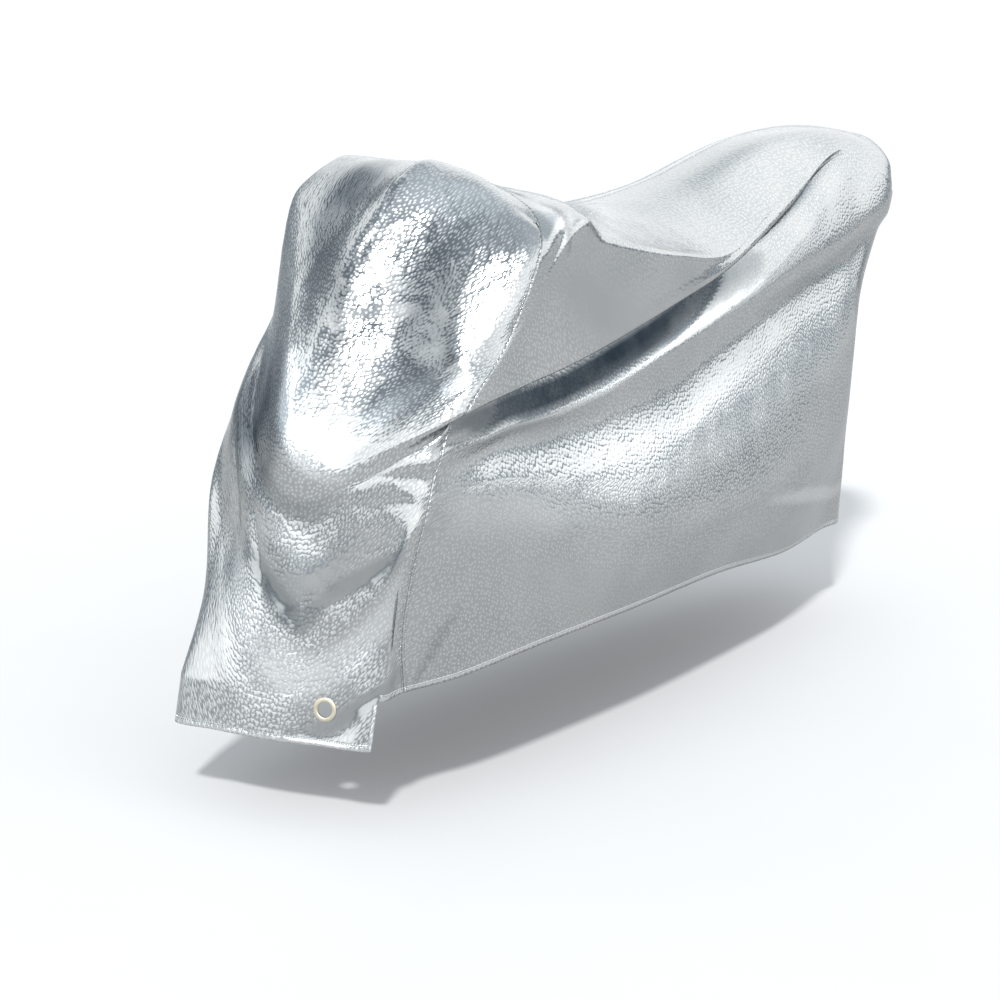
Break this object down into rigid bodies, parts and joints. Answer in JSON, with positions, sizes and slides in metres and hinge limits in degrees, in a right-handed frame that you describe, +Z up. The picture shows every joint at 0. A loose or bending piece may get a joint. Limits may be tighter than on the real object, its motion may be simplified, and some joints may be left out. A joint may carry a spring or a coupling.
{
  "type": "motorcycle cover",
  "caption": "Fitted silver film-cloth cover, hollow and open below, hanging in the shape and folds that a covered scooter or motorcycle gives it, with a lock eyelet in its front flap.",
  "frame": {"origin": "under the top of the cover over the rear of the seat, where the covered machine carries it; the ground is 1.147 m below", "axes": "+Z up, +Y from the front to the rear, +X towards the covered machine's left side"},
  "size_m": [0.6311, 2.1993, 1.0117],
  "materials": {
    "silver_cloth": "embossed silver film laminated on thin cloth, mirror-like in its highlights",
    "eyelet_metal": "pale brass, satin, pressed"
  },
  "bodies": {
    "root": {"front_panel": "silver_cloth", "rear_panel": "silver_cloth", "front_hem_strip": "silver_cloth", "eyelet_left": "eyelet_metal"}
  },
  "joints": []
}
